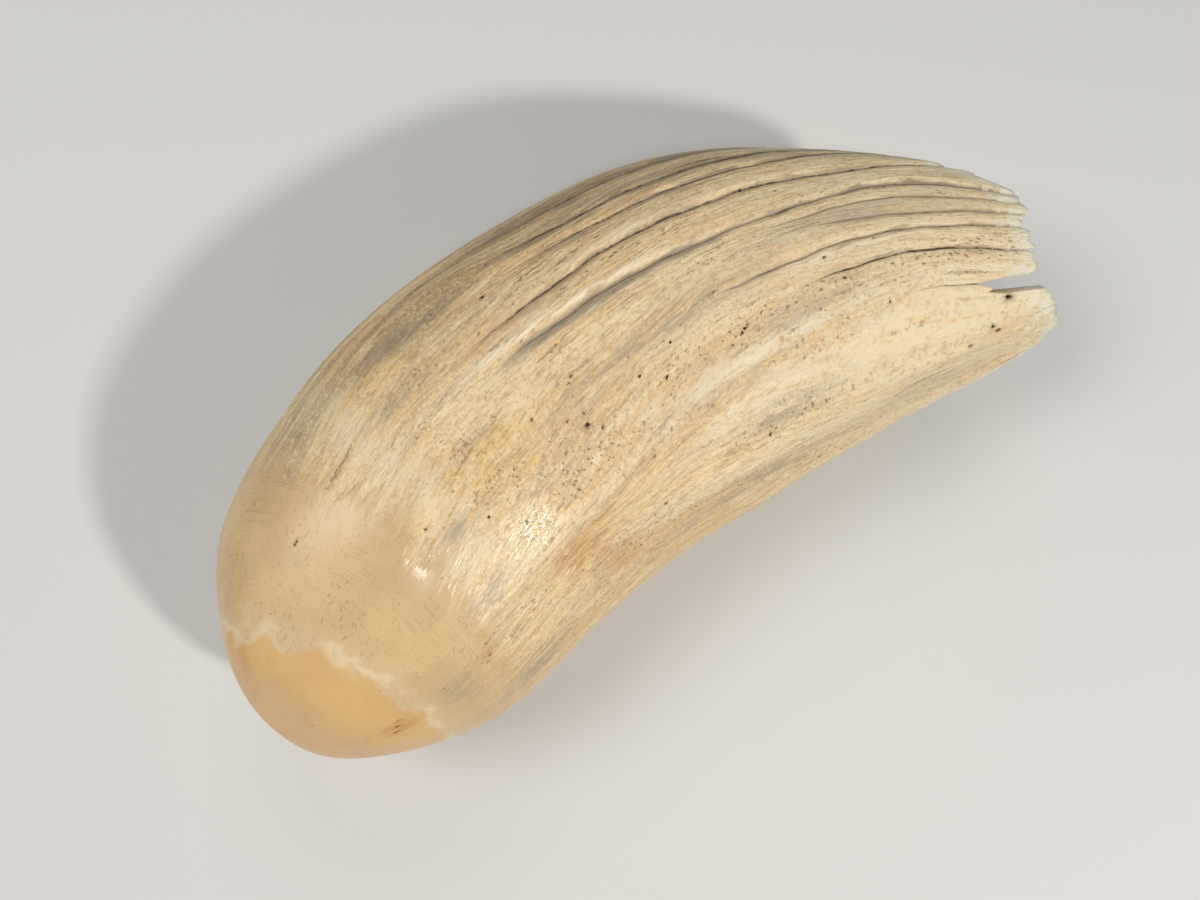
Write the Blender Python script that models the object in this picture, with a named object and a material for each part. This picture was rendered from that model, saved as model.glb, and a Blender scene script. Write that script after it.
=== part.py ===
"""A sperm whale tooth, lying on its side the way a loose tooth comes to rest.

The tooth is one grown piece: a curved, slightly flattened horn of ivory with a
worn, rounded crown end at -X and a broken, thin-walled root at +X. Its convex
side faces +Y. Grooves run along the root half, a split opens in the root's
upper wall, and a conical pulp cavity opens at the root end.
"""

import math

import bmesh
import bpy
import numpy as np

MM = 0.001

# Driving dimensions in millimetres. A station is the share of the way from the
# crown end (0) to the root end (1) along the centreline, and the stations of
# each list are evenly spaced.
CENTRELINE_X = (-83.0, -47.0, -21.5, 11.5, 43.5, 83.0)
CENTRELINE_Y = (-16.0, 2.0, 10.0, 11.5, 4.0, -9.5)
HALF_WIDTH = (19.0, 30.0, 33.5, 34.5, 34.5, 34.0, 30.0, 23.0, 12.5)
HEIGHT_TO_WIDTH = 0.79
TIP_HEIGHT_TO_WIDTH = 1.0
TIP_BLEND = 0.16
ROOT_FLARE = 2.8
ROOT_RISE = 3.0
ROLL = 0.07
BELLY_SHAVE = 0.35
CENTRE_SHIFT = (-3.6, 7.85)

# The crown end closes as a blunt cap, and wear has turned its upper side into
# a cone that starts at a soft shoulder.
CAP_LENGTH = 0.13
CAP_POWER = 2.2
SHOULDER_STATION = 0.19
SHOULDER_SWEEP = (0.130, 0.170, 0.190, 0.152, 0.100)
WEAR_SLOPE = 66.0
WEAR_SOFTNESS = 0.9
FACET_NORMAL = (-0.74, -0.36, 0.57)
FACET_DEPTH = 2.2
FACET_SOFTNESS = 0.8

# Root end: wall, pulp cavity and the split in the upper wall.
RIM_WALL = 2.6
CAVITY_END = 0.75
CAVITY_POWER = 0.65
SPLIT_APEX = 0.897

# The broken rim, as angle round the tooth (degrees, 0 on the convex side and
# 90 on top) and the station that the wall reaches there.
RIM = (
    (28, 0.905), (34, 0.927), (45, 0.929), (56, 0.960), (74, 0.963), (79, 0.953), (86, 0.955),
    (97, 0.958), (108, 0.958), (115, 0.955), (127, 0.970), (142, 0.979), (156, 0.983),
    (164, 0.960), (171, 0.910), (180, 0.865), (197, 0.858), (215, 0.895), (240, 0.930),
    (275, 0.950), (310, 0.940), (350, 0.915),
)

# Grooves: greatest depth, the stations where it starts and is at full depth,
# and its angle at evenly spaced stations from COURSE_START to the root end.
COURSE_START = 0.40
GROOVES = (
    (0.8, 0.38, 0.55, (28, 36, 27, 10, -22)),
    (0.9, 0.40, 0.55, (40, 48, 40, 20, -12)),
    (1.0, 0.42, 0.58, (54, 55, 49, 28, -4)),
    (1.5, 0.36, 0.52, (70, 66, 60, 46, 12)),
    (1.6, 0.38, 0.50, (79, 77, 73, 60, 55)),
    (0.9, 0.66, 0.78, (85, 83, 77, 68, 65)),
    (1.1, 0.70, 0.82, (92, 89, 81, 76, 75)),
    (1.2, 0.56, 0.74, (99, 95, 90, 83, 86)),
    (1.3, 0.70, 0.80, (112, 106, 99, 93, 103)),
    (0.6, 0.76, 0.88, (127, 120, 114, 109, 121)),
    (0.8, 0.44, 0.72, (135, 137, 141, 144, 141)),
    (0.6, 0.38, 0.62, (155, 156, 155, 158, 156)),
    (0.8, 0.42, 0.62, (174, 177, 177, 176, 173)),
    (1.0, 0.46, 0.66, (196, 198, 196, 194, 190)),
    (0.7, 0.40, 0.62, (218, 219, 217, 211, 206)),
    (0.9, 0.48, 0.68, (241, 240, 238, 231, 222)),
    (0.8, 0.44, 0.64, (262, 263, 258, 249, 238)),
    (1.1, 0.42, 0.60, (285, 284, 280, 267, 254)),
    (0.9, 0.46, 0.62, (308, 306, 299, 286, 271)),
    (1.0, 0.40, 0.58, (329, 330, 321, 304, 287)),
    (0.8, 0.44, 0.60, (349, 351, 343, 325, 304)),
    (0.9, 0.40, 0.56, (369, 374, 364, 344, 322)),
)
SPLIT_GROOVE = 9
GROOVE_HALF_ANGLE = 2.6
SPLIT_HALF_ANGLE = 5.5
RIDGE_CROWN = 0.45

# Mesh density: each groove has a bottom, two shoulders and a ridge beside it.
COLUMNS = 4 * len(GROOVES)
OUTER_ROWS = 42
INNER_ROWS = 13
ROWS = OUTER_ROWS + INNER_ROWS + 1
CROWN_ROWS = 14
CROWN_REACH = 0.15

TOOTH_COLOUR = (0.78, 0.66, 0.47, 1.0)
TOOTH_ROUGHNESS = 0.45


def curve_through(values, share):
    """Smooth curve through evenly spaced values, read at a share from 0 to 1."""
    values = np.asarray(values, float)
    ends = np.concatenate([[2 * values[0] - values[1]], values, [2 * values[-1] - values[-2]]])
    last = len(values) - 1
    place = np.clip(np.asarray(share, float), 0.0, 1.0) * last
    low = np.minimum(place.astype(int), last - 1)
    t = place - low
    before, start, end, after = ends[low], ends[low + 1], ends[low + 2], ends[low + 3]
    return 0.5 * (
        2 * start
        + (end - before) * t
        + (2 * before - 5 * start + 4 * end - after) * t ** 2
        + (3 * start - before - 3 * end + after) * t ** 3
    )


def smooth_step(low, high, value):
    """0 below low, 1 above high, with a smooth rise between them."""
    t = np.clip((value - low) / (high - low), 0.0, 1.0)
    return t * t * (3.0 - 2.0 * t)


def soft_excess(value, softness):
    """How far value is above 0, rounded off over the given softness."""
    return softness * np.logaddexp(0.0, value / softness)


def rim_station(angle):
    """Station of the broken rim at an angle in degrees."""
    angles = [point[0] for point in RIM]
    stations = [point[1] for point in RIM]
    return np.interp(angle, angles, stations, period=360.0)


def groove_angle(groove, station):
    """Angle of a groove's bottom, in degrees, at a station."""
    share = (np.asarray(station, float) - COURSE_START) / (1.0 - COURSE_START)
    return curve_through(groove[3], share)


def groove_depth(groove, station):
    """Depth of a groove at a station, fading out towards the crown."""
    depth, start, full, _ = groove
    return depth * smooth_step(start, full, station)


def half_sizes(station):
    """Half width and half height of the uncut cross-section at a station."""
    width = curve_through(HALF_WIDTH, station)
    inset = np.clip(1.0 - np.asarray(station, float) / CAP_LENGTH, 0.0, 1.0)
    cap = (1.0 - inset ** CAP_POWER) ** (1.0 / CAP_POWER)
    body = smooth_step(0.0, TIP_BLEND, station)
    ratio = TIP_HEIGHT_TO_WIDTH + (HEIGHT_TO_WIDTH - TIP_HEIGHT_TO_WIDTH) * body
    return width * cap, width * cap * ratio


def centre(station):
    """Centreline point and its level sideways direction at a station."""
    step = 1e-4
    ahead = np.clip(np.asarray(station, float) + step, 0.0, 1.0)
    behind = np.clip(np.asarray(station, float) - step, 0.0, 1.0)
    dx = curve_through(CENTRELINE_X, ahead) - curve_through(CENTRELINE_X, behind)
    dy = curve_through(CENTRELINE_Y, ahead) - curve_through(CENTRELINE_Y, behind)
    length = np.hypot(dx, dy)
    level = max(HALF_WIDTH) * HEIGHT_TO_WIDTH - BELLY_SHAVE
    z = level + ROOT_RISE * smooth_step(0.6, 1.0, station)
    point = np.stack([curve_through(CENTRELINE_X, station), curve_through(CENTRELINE_Y, station), z], -1)
    side = np.stack([-dy / length, dx / length, np.zeros_like(dx)], -1)
    return point, side


def skin_point(station, angle, inset):
    """Point of the outer skin in millimetres, moved inwards by inset."""
    wide, high = half_sizes(station)
    turn = np.radians(angle)
    shoulder = curve_through(SHOULDER_SWEEP, angle % 360.0 / 180.0)
    wear = soft_excess(WEAR_SLOPE * (shoulder - station), WEAR_SOFTNESS)
    level = curve_through(HALF_WIDTH, SHOULDER_STATION) * HEIGHT_TO_WIDTH - wear
    worn_high = high - soft_excess(high - level, WEAR_SOFTNESS)
    high = np.where(np.sin(turn) > 0.0, np.maximum(worn_high, 0.0), high)
    flare = ROOT_FLARE * smooth_step(0.82, 0.97, station) * np.clip(-np.cos(turn), 0.0, 1.0)
    across = (np.maximum(wide - inset, 0.0) + flare) * np.cos(turn)
    up = np.maximum(high - inset, 0.0) * np.sin(turn)
    point, side = centre(station)
    lift = up + ROLL * across
    return point + side * across[..., None] + np.stack([0 * up, 0 * up, lift], -1)


def wear_facet(points):
    """Flatten the exposed core at the tip with a soft plane."""
    normal = np.array(FACET_NORMAL) / np.linalg.norm(FACET_NORMAL)
    reach = points @ normal
    level = reach.max() - FACET_DEPTH
    return points - normal * soft_excess(reach - level, FACET_SOFTNESS)[:, None]


def row_station(row):
    """Nominal station of an outer row, closer together over the round crown."""
    if row <= CROWN_ROWS:
        return CROWN_REACH * (1.0 - math.cos(0.5 * math.pi * row / CROWN_ROWS))
    share = (row - CROWN_ROWS) / (OUTER_ROWS - CROWN_ROWS)
    return CROWN_REACH + (1.0 - CROWN_REACH) * share


def shoulder_half_angle(index, station):
    """Angle from a groove's bottom to its shoulders, wider along the split."""
    if index != SPLIT_GROOVE:
        return GROOVE_HALF_ANGLE
    opening = smooth_step(SPLIT_APEX - 0.03, SPLIT_APEX + 0.06, station)
    return GROOVE_HALF_ANGLE + (SPLIT_HALF_ANGLE - GROOVE_HALF_ANGLE) * opening


def column_place(column, station):
    """Angle and inset of a mesh column where it crosses a station."""
    index, role = divmod(column % COLUMNS, 4)
    following = (index + 1) % len(GROOVES)
    here = groove_angle(GROOVES[index], station)
    there = groove_angle(GROOVES[following], station) + (360.0 if following == 0 else 0.0)
    if role == 0:
        return here, groove_depth(GROOVES[index], station)
    if role == 1:
        return here + shoulder_half_angle(index, station), 0.0
    if role == 3:
        return there - shoulder_half_angle(following, station), 0.0
    depth = groove_depth(GROOVES[index], station) + groove_depth(GROOVES[following], station)
    return 0.5 * (here + there), -0.5 * RIDGE_CROWN * depth


def column_rim(column):
    """Station where a column meets the broken rim."""
    if column % COLUMNS == 4 * SPLIT_GROOVE:
        return SPLIT_APEX
    near_rim = column_place(column, float(rim_station(column_place(column, 0.95)[0])))[0]
    return float(rim_station(near_rim))


def outer_point(column, row):
    """Point of the outer surface for a mesh column and row."""
    nominal = row_station(row)
    station = nominal * (1.0 - (1.0 - column_rim(column)) * smooth_step(0.6, 1.0, nominal))
    angle, inset = column_place(column, station)
    return skin_point(station, angle, inset)


def cavity_point(column, row):
    """Point of the pulp cavity's wall, from the rim (row 0) to its blind end."""
    rim = column_rim(column)
    angle = column_place(column, rim)[0]
    share = row / INNER_ROWS
    narrowing = (1.0 - share) ** CAVITY_POWER
    wide, high = half_sizes(rim)
    turn = math.radians(angle)
    flare = ROOT_FLARE * smooth_step(0.82, 0.97, rim) * max(-math.cos(turn), 0.0)
    point, side = centre(rim + (CAVITY_END - rim) * share)
    across = (wide - RIM_WALL + flare) * narrowing * math.cos(turn)
    up = (high - RIM_WALL) * narrowing * math.sin(turn)
    return point + side * across + np.array([0.0, 0.0, up + ROLL * across])


def tooth_point(column, row):
    """Point for a column and row of the whole folded surface."""
    if row == 0:
        return skin_point(0.0, 0.0, 0.0)
    if row <= OUTER_ROWS:
        return outer_point(column, row)
    if row < ROWS:
        return cavity_point(column, row - OUTER_ROWS - 1)
    return centre(CAVITY_END)[0]


def build_mesh(name):
    """Shape a sphere into the tooth: pole to pole, down the outside and into the cavity."""
    shape = bmesh.new()
    bmesh.ops.create_uvsphere(shape, u_segments=COLUMNS, v_segments=ROWS, radius=1.0)
    points = []
    for vertex in shape.verts:
        x, y, z = vertex.co
        row = round(math.acos(max(-1.0, min(1.0, z))) / math.pi * ROWS)
        column = round(-math.atan2(y, x) / (2.0 * math.pi) * COLUMNS)
        points.append(tooth_point(column, row))
    points = wear_facet(np.array(points))
    points[:, 2] = np.maximum(points[:, 2], 0.0)
    points -= np.array([*CENTRE_SHIFT, 0.0])
    for vertex, point in zip(shape.verts, points):
        vertex.co = point * MM
    bmesh.ops.recalc_face_normals(shape, faces=shape.faces)
    mesh = bpy.data.meshes.new(name)
    shape.to_mesh(mesh)
    shape.free()
    mesh.shade_smooth()
    return mesh


def ivory():
    """Cream ivory, softly glossy."""
    material = bpy.data.materials.new("ivory")
    material.use_nodes = True
    surface = material.node_tree.nodes["Principled BSDF"]
    surface.inputs["Base Color"].default_value = TOOTH_COLOUR
    surface.inputs["Roughness"].default_value = TOOTH_ROUGHNESS
    surface.inputs["Metallic"].default_value = 0.0
    return material


def main():
    for leftover in list(bpy.data.objects):
        bpy.data.objects.remove(leftover, do_unlink=True)
    parts = bpy.data.collections.new("sperm_whale_tooth")
    bpy.context.scene.collection.children.link(parts)
    tooth = bpy.data.objects.new("tooth", build_mesh("tooth"))
    tooth.data.materials.append(ivory())
    parts.objects.link(tooth)


main()
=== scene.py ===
"""Dresses a worn sperm whale tooth: fine skin, ivory finish, studio and camera.

The tooth lies on its side, crown at -X and broken root at +X. Its form repeats
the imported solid's, in millimetres, and adds what is too fine for that solid:
cracks in the groove bottoms, ripples along the grain, pits and a chipped rim.
"""

import logging
import math
from dataclasses import dataclass, field
from enum import Enum
from typing import Optional, Sequence, Union

import bpy
import numpy as np
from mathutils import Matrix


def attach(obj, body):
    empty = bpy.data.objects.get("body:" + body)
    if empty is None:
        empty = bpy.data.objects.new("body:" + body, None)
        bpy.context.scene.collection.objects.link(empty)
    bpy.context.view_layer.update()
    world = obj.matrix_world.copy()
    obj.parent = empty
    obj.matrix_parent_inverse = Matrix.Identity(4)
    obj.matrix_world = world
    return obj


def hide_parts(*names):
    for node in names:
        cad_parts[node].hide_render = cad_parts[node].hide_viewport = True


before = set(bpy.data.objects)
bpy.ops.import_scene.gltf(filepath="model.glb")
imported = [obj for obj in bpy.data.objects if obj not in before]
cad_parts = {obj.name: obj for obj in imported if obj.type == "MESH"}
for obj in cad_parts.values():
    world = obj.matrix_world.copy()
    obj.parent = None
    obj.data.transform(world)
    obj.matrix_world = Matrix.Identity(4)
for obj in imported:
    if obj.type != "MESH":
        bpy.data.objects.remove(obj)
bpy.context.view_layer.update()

MM = 0.001
LOG = logging.getLogger("whale_tooth")

Socket = bpy.types.NodeSocket
Value = Union[Socket, float, Sequence[float]]
Array = np.ndarray
Colour = tuple[float, float, float, float]


def paint(red: int, green: int, blue: int) -> Colour:
    """Turns a colour as seen on a screen into the light values a shader takes.

    Args:
        red: Screen red, 0 to 255.
        green: Screen green, 0 to 255.
        blue: Screen blue, 0 to 255.

    Returns:
        The linear colour with full alpha.
    """
    screen = [channel / 255.0 for channel in (red, green, blue)]
    linear = [c / 12.92 if c <= 0.04045 else ((c + 0.055) / 1.055) ** 2.4 for c in screen]
    return (*linear, 1.0)


def smooth_step(low: float, high: float, value: Array) -> Array:
    """Rises smoothly from 0 at low to 1 at high.

    Args:
        low: Where the rise starts.
        high: Where it ends.
        value: What is read against them.

    Returns:
        Values from 0 to 1.
    """
    t = np.clip((np.asarray(value, float) - low) / (high - low), 0.0, 1.0)
    return t * t * (3.0 - 2.0 * t)


def soft_excess(value: Array, softness: float) -> Array:
    """Gives how far a value is above 0, rounded off over a softness."""
    return softness * np.logaddexp(0.0, value / softness)


def turn_between(angle: Array, middle: Array) -> Array:
    """Gives the turn from one angle to another, -180 to 180 degrees."""
    return np.mod(angle - middle + 180.0, 360.0) - 180.0


def curve_through(values: Sequence[float], share: Array) -> Array:
    """Reads a smooth curve through evenly spaced values.

    Args:
        values: What the curve passes through.
        share: Where it is read, 0 at the first value and 1 at the last.

    Returns:
        The curve's values there.
    """
    known = np.asarray(values, float)
    ends = np.concatenate([[2 * known[0] - known[1]], known, [2 * known[-1] - known[-2]]])
    last = len(known) - 1
    place = np.clip(np.asarray(share, float), 0.0, 1.0) * last
    low = np.minimum(place.astype(int), last - 1)
    t = place - low
    before, start, end, after = ends[low], ends[low + 1], ends[low + 2], ends[low + 3]
    return 0.5 * (
        2 * start
        + (end - before) * t
        + (2 * before - 5 * start + 4 * end - after) * t ** 2
        + (3 * start - before - 3 * end + after) * t ** 3
    )


@dataclass(frozen=True)
class Groove:
    """One groove along the tooth.

    Its depth in millimetres fades in between two stations, and its course is
    its angle at evenly spaced stations up to the root end. crack says how
    dark and sharp its bottom is, from 0 to 1, and shade how much painted shade
    darkens its sides.
    """

    depth: float
    start: float
    full: float
    course: tuple[float, ...]
    crack: float = 0.4
    shade: float = 0.5


GROOVES = (
    Groove(0.8, 0.38, 0.55, (28, 36, 27, 10, -22), 0.8, 1.0),
    Groove(0.9, 0.40, 0.55, (40, 48, 40, 20, -12), 0.9, 1.0),
    Groove(1.0, 0.42, 0.58, (54, 55, 49, 28, -4), 0.8, 0.8),
    Groove(1.5, 0.36, 0.52, (70, 66, 60, 46, 12), 0.9, 0.6),
    Groove(1.6, 0.38, 0.50, (79, 77, 73, 60, 55), 0.3, 1.0),
    Groove(0.9, 0.66, 0.78, (85, 83, 77, 68, 65), 0.5),
    Groove(1.1, 0.70, 0.82, (92, 89, 81, 76, 75), 0.5, 0.6),
    Groove(1.2, 0.56, 0.74, (99, 95, 90, 83, 86), 0.6, 0.7),
    Groove(1.3, 0.70, 0.80, (112, 106, 99, 93, 103), 0.9, 0.7),
    Groove(0.9, 0.80, 0.90, (127, 120, 114, 109, 121), 0.9, 0.1),
    Groove(0.3, 0.44, 0.72, (135, 137, 141, 144, 141), 0.1, 0.2),
    Groove(0.3, 0.38, 0.62, (155, 156, 155, 158, 156), 0.1, 0.2),
    Groove(0.8, 0.42, 0.62, (174, 177, 177, 176, 173), 0.4),
    Groove(1.0, 0.46, 0.66, (196, 198, 196, 194, 190), 0.6),
    Groove(0.7, 0.40, 0.62, (218, 219, 217, 211, 206), 0.3),
    Groove(0.9, 0.48, 0.68, (241, 240, 238, 231, 222), 0.5),
    Groove(0.8, 0.44, 0.64, (262, 263, 258, 249, 238), 0.7),
    Groove(1.1, 0.42, 0.60, (285, 284, 280, 267, 254), 0.8),
    Groove(0.9, 0.46, 0.62, (308, 306, 299, 286, 271), 0.5),
    Groove(1.0, 0.40, 0.58, (329, 330, 321, 304, 287), 0.7),
    Groove(0.8, 0.44, 0.60, (349, 351, 343, 325, 304), 0.5),
    Groove(0.9, 0.40, 0.56, (369, 374, 364, 344, 322), 0.6),
)
SPLIT_GROOVE = 9


@dataclass(frozen=True)
class ToothForm:
    """The tooth's outer form, in millimetres and degrees.

    A station is the share of the way from the crown end to the root end along
    the centreline. Angles run round it, 0 on the convex side and 90 on top.
    """

    centreline_x: tuple[float, ...] = (-83.0, -47.0, -21.5, 11.5, 43.5, 83.0)
    centreline_y: tuple[float, ...] = (-16.0, 2.0, 10.0, 11.5, 4.0, -9.5)
    half_width: tuple[float, ...] = (19.0, 30.0, 33.5, 34.5, 34.5, 34.0, 30.0, 23.0, 12.5)
    length: float = 178.0
    height_to_width: float = 0.79
    tip_height_to_width: float = 1.0
    tip_blend: float = 0.16
    root_flare: float = 2.8
    flare_start: float = 0.82
    flare_full: float = 0.97
    root_rise: float = 3.0
    rise_start: float = 0.6
    roll: float = 0.07
    belly_shave: float = 0.35
    centre_shift: tuple[float, float] = (-3.6, 7.85)
    cap_length: float = 0.13
    cap_power: float = 2.2
    shoulder_sweep: tuple[float, ...] = (0.130, 0.170, 0.190, 0.152, 0.100)
    shoulder_station: float = 0.19
    wear_slope: float = 66.0
    wear_softness: float = 0.9
    facet_normal: tuple[float, ...] = (-0.74, -0.36, 0.57)
    facet_depth: float = 2.2
    facet_softness: float = 0.8
    rim_wall: float = 2.6
    cavity_end: float = 0.75
    cavity_power: float = 0.65
    split_apex: float = 0.897
    split_reach: float = 0.066
    split_half_angle: float = 5.5
    split_power: float = 1.1
    course_start: float = 0.40
    rim: tuple[tuple[float, float], ...] = (
        (28, 0.905), (34, 0.927), (45, 0.929), (56, 0.960), (74, 0.963), (79, 0.953), (86, 0.955),
        (97, 0.958), (108, 0.958), (115, 0.955), (127, 0.970), (142, 0.979), (156, 0.983),
        (164, 0.960), (171, 0.910), (180, 0.865), (197, 0.858), (215, 0.895), (240, 0.930),
        (275, 0.950), (310, 0.940), (350, 0.915),
    )

    def half_sizes(self, station: Array) -> tuple[Array, Array]:
        """Gives the half width and half height of the uncut cross-section.

        Args:
            station: Stations.

        Returns:
            Half widths and half heights.
        """
        width = curve_through(self.half_width, station)
        inset = np.clip(1.0 - np.asarray(station, float) / self.cap_length, 0.0, 1.0)
        cap = (1.0 - inset ** self.cap_power) ** (1.0 / self.cap_power)
        body = smooth_step(0.0, self.tip_blend, station)
        ratio = self.tip_height_to_width + (self.height_to_width - self.tip_height_to_width) * body
        return width * cap, width * cap * ratio

    def centre(self, station: Array) -> tuple[Array, Array]:
        """Gives the centreline point and its level sideways direction.

        Args:
            station: Stations.

        Returns:
            Points and unit directions.
        """
        step = 1e-4
        ahead = np.clip(np.asarray(station, float) + step, 0.0, 1.0)
        behind = np.clip(np.asarray(station, float) - step, 0.0, 1.0)
        dx = curve_through(self.centreline_x, ahead) - curve_through(self.centreline_x, behind)
        dy = curve_through(self.centreline_y, ahead) - curve_through(self.centreline_y, behind)
        size = np.hypot(dx, dy)
        level = max(self.half_width) * self.height_to_width - self.belly_shave
        z = level + self.root_rise * smooth_step(self.rise_start, 1.0, station)
        x = curve_through(self.centreline_x, station)
        y = curve_through(self.centreline_y, station)
        return np.stack([x, y, z], -1), np.stack([-dy / size, dx / size, np.zeros_like(dx)], -1)

    def shoulder(self, angle: Array) -> Array:
        """Gives the station of the worn crown's shoulder at an angle."""
        return curve_through(self.shoulder_sweep, np.mod(angle, 360.0) / 180.0)

    def flare(self, station: Array, angle: Array) -> Array:
        """Gives how far the root's concave side stands out, in millimetres."""
        side = np.clip(-np.cos(np.radians(angle)), 0.0, 1.0)
        return self.root_flare * smooth_step(self.flare_start, self.flare_full, station) * side

    def skin(self, station: Array, angle: Array, inset: Array) -> Array:
        """Gives points of the outer skin.

        Args:
            station: Stations.
            angle: Angles in degrees.
            inset: How far the point lies below the smooth skin, in millimetres.

        Returns:
            Points in millimetres, before the facet is worn and the belly levelled.
        """
        wide, high = self.half_sizes(station)
        turn = np.radians(angle)
        wear = soft_excess(self.wear_slope * (self.shoulder(angle) - station), self.wear_softness)
        level = curve_through(self.half_width, self.shoulder_station) * self.height_to_width - wear
        worn = np.maximum(high - soft_excess(high - level, self.wear_softness), 0.0)
        high = np.where(np.sin(turn) > 0.0, worn, high)
        across = (np.maximum(wide - inset, 0.0) + self.flare(station, angle)) * np.cos(turn)
        up = np.maximum(high - inset, 0.0) * np.sin(turn)
        point, side = self.centre(station)
        lift = up + self.roll * across
        return point + side * across[..., None] + np.stack([0 * up, 0 * up, lift], -1)

    def cavity(self, rim: Array, angle: Array, share: Array) -> Array:
        """Gives points of the pulp cavity's wall.

        Args:
            rim: Station of the rim that the point's column meets.
            angle: Angles in degrees.
            share: 0 at the rim and 1 at the cavity's blind end.

        Returns:
            Points in millimetres.
        """
        narrowing = (1.0 - share) ** self.cavity_power
        wide, high = self.half_sizes(rim)
        turn = np.radians(angle)
        point, side = self.centre(rim + (self.cavity_end - rim) * share)
        across = (wide - self.rim_wall + self.flare(rim, angle)) * narrowing * np.cos(turn)
        lift = (high - self.rim_wall) * narrowing * np.sin(turn) + self.roll * across
        return point + side * across[..., None] + np.stack([0 * lift, 0 * lift, lift], -1)

    def settle(self, points: Array) -> Array:
        """Wears the tip's facet, levels the belly and centres the tooth.

        Args:
            points: Points in millimetres.

        Returns:
            Points in metres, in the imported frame.
        """
        normal = np.array(self.facet_normal) / np.linalg.norm(self.facet_normal)
        crown = self.skin(np.linspace(0.0, 0.2, 60)[:, None], np.linspace(0, 354, 60)[None, :], 0.0)
        level = (crown @ normal).max() - self.facet_depth
        worn = points - normal * soft_excess(points @ normal - level, self.facet_softness)[..., None]
        worn[..., 2] = np.maximum(worn[..., 2], 0.0)
        return (worn - np.array([*self.centre_shift, 0.0])) * MM

    def groove_angle(self, groove: Groove, station: Array) -> Array:
        """Gives the angle of a groove's bottom at a station."""
        share = (np.asarray(station, float) - self.course_start) / (1.0 - self.course_start)
        return curve_through(groove.course, share)

    def groove_depth(self, groove: Groove, station: Array) -> Array:
        """Gives a groove's depth at a station, in millimetres."""
        return groove.depth * smooth_step(groove.start, groove.full, station)

    def millimetres_per_degree(self, station: Array, angle: Array) -> Array:
        """Gives how far one degree reaches over the skin."""
        wide, high = self.half_sizes(station)
        turn = np.radians(angle)
        return np.hypot(wide * np.sin(turn), high * np.cos(turn)) * math.pi / 180.0


class MarkKind(Enum):
    """What a mark on the tooth looks like."""

    RUST = "rust"
    MILK = "milk"
    # Grey patches: partly real grey smudges, partly painted shade in bands beside grooves and ridges.
    GREY = "grey"
    # Painted light: a near-white stripe on the lit top of a raised ridge.
    BRIGHT = "bright"
    SPECKS = "specks"
    POLISH = "polish"


@dataclass(frozen=True)
class Mark:
    """A soft patch of colour, placed by station and angle, sized in millimetres.

    Its angle changes by lean degrees a station, to follow the grooves.
    """

    station: float
    angle: float
    along: float
    across: float
    strength: float
    lean: float = 0.0


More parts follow.
